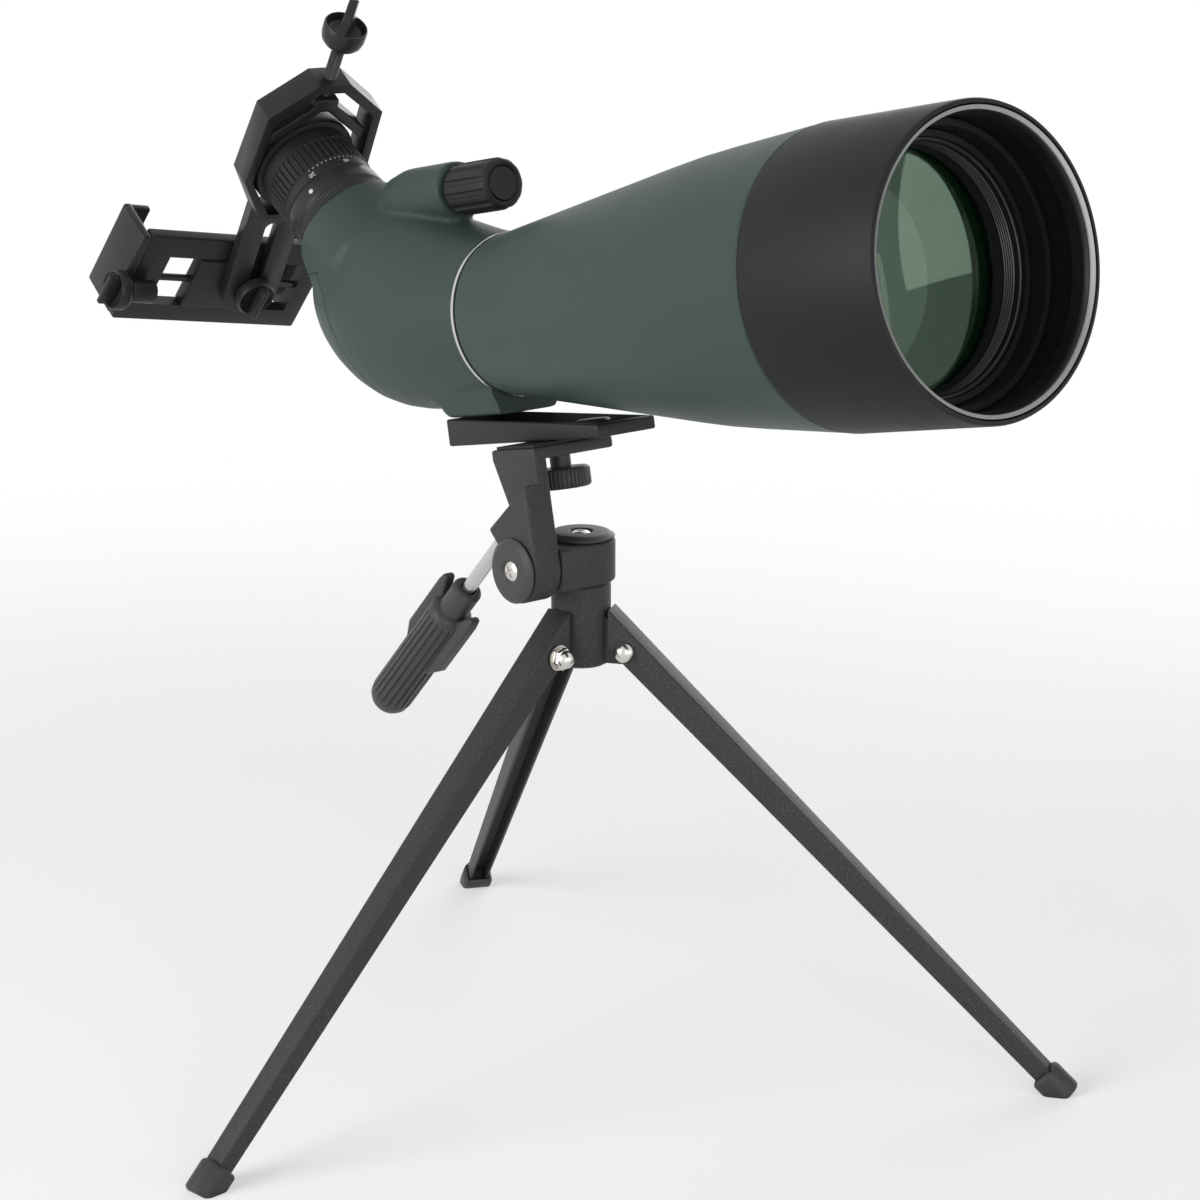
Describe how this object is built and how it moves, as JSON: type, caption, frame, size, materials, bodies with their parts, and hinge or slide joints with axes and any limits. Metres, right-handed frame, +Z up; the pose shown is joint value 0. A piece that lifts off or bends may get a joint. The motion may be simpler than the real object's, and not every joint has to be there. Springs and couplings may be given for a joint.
{
  "type": "spotting scope",
  "caption": "Angled spotting scope with a zoom eyepiece, a clamp-on phone holder and a folding table tripod with a pan and tilt head.",
  "frame": {"origin": "middle of the bounding box, on the ground under the boots", "axes": "+X the way the scope looks, +Y to its left, +Z up"},
  "size_m": [0.4236, 0.2772, 0.3576],
  "materials": {
    "green_paint": "fine satin texture",
    "black_paint": "matte",
    "black_plastic": "fine moulded texture",
    "powder_coat": "speckled powder coat",
    "black_rubber": "matte, moulded ribs",
    "bright_steel": "polished",
    "nickel": "plated",
    "brass": "turned",
    "coated_glass": "green anti-reflection coating"
  },
  "bodies": {
    "tripod_hub": {"hub": "powder_coat"},
    "leg_1": {"leg_1": "powder_coat", "leg_bolt_1": "nickel", "dome_nut_1": "nickel", "boot_1": "black_rubber"},
    "leg_2": {"leg_2": "powder_coat", "leg_bolt_2": "nickel", "dome_nut_2": "nickel", "boot_2": "black_rubber"},
    "leg_3": {"leg_3": "powder_coat", "leg_bolt_3": "nickel", "dome_nut_3": "nickel", "boot_3": "black_rubber"},
    "pan_head": {"pan_block": "powder_coat", "pan_disc": "black_plastic", "pan_screw": "nickel"},
    "tilt_head": {"head_bracket": "powder_coat", "platform_pad": "black_rubber", "tilt_disc": "black_plastic", "tilt_screw": "nickel", "main_tube": "green_paint", "objective_cell": "black_paint", "objective_flint": "coated_glass", "objective_crown": "coated_glass", "retaining_ring": "black_paint", "trim_ring": "bright_steel", "prism_housing": "green_paint", "rear_cover": "green_paint", "prism_holder": "black_plastic", "roof_prism": "coated_glass", "angle_prism": "coated_glass", "mounting_foot": "black_paint", "thread_bush": "brass", "eyepiece_base": "black_plastic", "eyepiece_barrel": "black_plastic", "eyecup": "black_rubber", "eye_lens": "coated_glass", "clamp_frame": "black_plastic"},
    "handle": {"handle_rod": "bright_steel", "handle_grip": "black_plastic"},
    "camera_screw": {"camera_screw": "black_plastic"},
    "hood": {"hood": "black_paint", "hood_ring": "black_paint"},
    "focus_knob": {"focus_knob": "black_rubber", "knob_cap": "black_plastic", "focus_shaft": "bright_steel"},
    "focus_carriage": {"focus_carriage": "black_plastic", "focus_lens": "coated_glass"},
    "zoom_ring": {"zoom_ring": "black_rubber"},
    "zoom_lens_group": {"zoom_lens_group": "coated_glass"},
    "clamp_jaw": {"clamp_jaw": "black_plastic"},
    "clamp_screw": {"clamp_screw": "black_paint", "wing_knob": "black_plastic"},
    "arm_thumbscrew": {"arm_thumbscrew": "black_plastic"},
    "carriage": {"carriage": "black_plastic", "brass_insert": "brass"},
    "phone_plate": {"phone_plate": "black_plastic", "guide_rod": "black_paint"},
    "phone_jaw": {"phone_jaw": "black_plastic"},
    "jaw_thumbscrew": {"jaw_thumbscrew": "black_plastic"}
  },
  "joints": [
    {"name": "leg_1_fold", "type": "hinge", "parent": "tripod_hub", "child": "leg_1", "pos_m": [0.01995, 0.01828, 0.146], "axis": [0.9954, 0.0958, 0], "range_deg": [0, 38]},
    {"name": "leg_2_fold", "type": "hinge", "parent": "tripod_hub", "child": "leg_2", "pos_m": [0.0318, 0.04428, 0.146], "axis": [-0.5807, 0.8141, 0], "range_deg": [0, 38]},
    {"name": "leg_3_fold", "type": "hinge", "parent": "tripod_hub", "child": "leg_3", "pos_m": [0.00336, 0.04154, 0.146], "axis": [-0.4147, -0.91, 0], "range_deg": [0, 38]},
    {"name": "pan", "type": "hinge", "parent": "tripod_hub", "child": "pan_head", "pos_m": [0.01837, 0.0347, 0.1696], "axis": [0, 0, 1], "continuous": true},
    {"name": "tilt", "type": "hinge", "parent": "pan_head", "child": "tilt_head", "pos_m": [0.01837, 0.0347, 0.1769], "axis": [0, 1, 0], "range_deg": [-25, 30]},
    {"name": "handle_twist", "type": "hinge", "parent": "tilt_head", "child": "handle", "pos_m": [0.00672, 0.0117, 0.18562], "axis": [-0.6896, 0, -0.7242], "range_deg": [-90, 90]},
    {"name": "camera_screw_turn", "type": "hinge", "parent": "tilt_head", "child": "camera_screw", "pos_m": [0.00803, 0.0347, 0.20542], "axis": [-0.1977, 0, 0.9803], "continuous": true},
    {"name": "hood_slide", "type": "slide", "parent": "tilt_head", "child": "hood", "axis": [0.9803, 0, 0.1977], "range_m": [0, 0.035]},
    {"name": "focus_turn", "type": "hinge", "parent": "tilt_head", "child": "focus_knob", "pos_m": [-0.02403, 0.0347, 0.29952], "axis": [0.9803, 0, 0.1977], "range_deg": [-360, 360]},
    {"name": "focus_slide", "type": "slide", "parent": "tilt_head", "child": "focus_carriage", "axis": [0.9803, 0, 0.1977], "range_m": [-0.006, 0.006]},
    {"name": "zoom_turn", "type": "hinge", "parent": "tilt_head", "child": "zoom_ring", "pos_m": [-0.13205, 0.0347, 0.28861], "axis": [-0.8329, 0, 0.5534], "range_deg": [-50, 50]},
    {"name": "zoom_slide", "type": "slide", "parent": "tilt_head", "child": "zoom_lens_group", "axis": [-0.8329, 0, 0.5534], "range_m": [-0.004, 0.004]},
    {"name": "clamp_jaw_slide", "type": "slide", "parent": "tilt_head", "child": "clamp_jaw", "axis": [0.5527, -0.0506, 0.8319], "range_m": [0, 0.0032]},
    {"name": "clamp_screw_turn", "type": "hinge", "parent": "clamp_jaw", "child": "clamp_screw", "pos_m": [-0.11836, 0.03287, 0.33349], "axis": [0.5527, -0.0506, 0.8319], "range_deg": [0, 1440]},
    {"name": "holder_slide", "type": "slide", "parent": "tilt_head", "child": "arm_thumbscrew", "axis": [0.5527, -0.0506, 0.8319], "range_m": [0, 0.018]},
    {"name": "holder_swing", "type": "hinge", "parent": "arm_thumbscrew", "child": "carriage", "pos_m": [-0.18504, 0.03603, 0.24575], "axis": [-0.8275, 0.0853, 0.555], "range_deg": [-12, 10]},
    {"name": "plate_slide", "type": "slide", "parent": "carriage", "child": "phone_plate", "axis": [0.0006, 0.9885, -0.1511], "range_m": [-0.009, 0.013]},
    {"name": "phone_jaw_slide", "type": "slide", "parent": "phone_plate", "child": "phone_jaw", "axis": [-0.0006, -0.9885, 0.1511], "range_m": [0, 0.006]},
    {"name": "jaw_screw_turn", "type": "hinge", "parent": "phone_jaw", "child": "jaw_thumbscrew", "pos_m": [-0.1822, -0.01919, 0.24855], "axis": [-0.0006, -0.9885, 0.1511], "range_deg": [0, 2160]}
  ],
  "couplings": [
    {"joint": "focus_turn", "follows": "focus_slide", "rad_per_m": 1047.2},
    {"joint": "zoom_turn", "follows": "zoom_slide", "rad_per_m": 218.17},
    {"joint": "clamp_screw_turn", "follows": "clamp_jaw_slide", "rad_per_m": 7854},
    {"joint": "jaw_screw_turn", "follows": "phone_jaw_slide", "rad_per_m": 6283.2}
  ]
}
